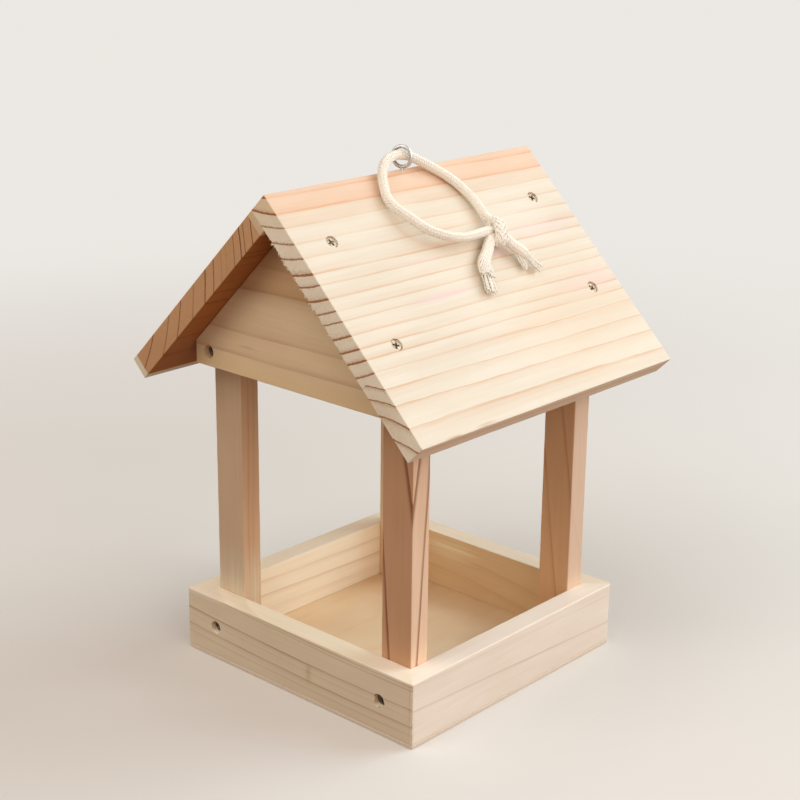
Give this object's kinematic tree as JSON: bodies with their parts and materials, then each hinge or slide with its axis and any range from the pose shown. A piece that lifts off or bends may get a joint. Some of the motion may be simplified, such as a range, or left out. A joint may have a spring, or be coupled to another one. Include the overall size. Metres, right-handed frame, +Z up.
{
  "type": "hanging bird feeder house",
  "caption": "Open wooden bird feeder house: a square seed tray with corner posts, gable panels and a pitched roof, hung by a knotted cotton cord through a screw eye in the ridge.",
  "frame": {"origin": "on the ground plane under the middle of the tray", "axes": "+Z up, Y along the ridge, X across the gables; the front gable faces -Y and the roof board that covers the ridge joint is on +X"},
  "size_m": [0.245, 0.24, 0.3377],
  "materials": {
    "plywood": "raw plywood, fine straight grain",
    "pine_roof": "raw planed pine, pale sapwood",
    "pine_heart": "raw planed pine, reddish heartwood",
    "pine_frame": "raw planed pine",
    "pine_post": "raw planed pine, darker strip",
    "pine_gable": "raw planed pine, flowing grain",
    "screw_steel": "zinc plated, cross recess",
    "zinc_eye": "bright zinc plated wire",
    "cotton_cord": "undyed braided cotton"
  },
  "bodies": {
    "house": {"tray_floor": "plywood", "tray_front": "pine_frame", "tray_back": "pine_frame", "tray_left": "pine_frame", "tray_right": "pine_frame", "post_front_left": "pine_post", "post_front_right": "pine_post", "post_back_left": "pine_post", "post_back_right": "pine_post", "gable_front": "pine_gable", "gable_back": "pine_gable", "roof_right": "pine_roof", "roof_left": "pine_heart", "roof_right_screws": "screw_steel", "roof_left_screws": "screw_steel", "gable_front_screws": "screw_steel", "gable_back_screws": "screw_steel", "tray_front_screws": "screw_steel", "tray_back_screws": "screw_steel", "screw_eye": "zinc_eye"},
    "rope": {"rope_front_run": "cotton_cord", "rope_back_run": "cotton_cord", "rope_knot": "cotton_cord", "rope_front_tail": "cotton_cord", "rope_back_tail": "cotton_cord"}
  },
  "joints": [
    {"name": "cord_loop_swing", "type": "hinge", "parent": "house", "child": "rope", "pos_m": [0, -0.004, 0.33121], "axis": [0, -1, 0], "range_deg": [0, 266]}
  ]
}
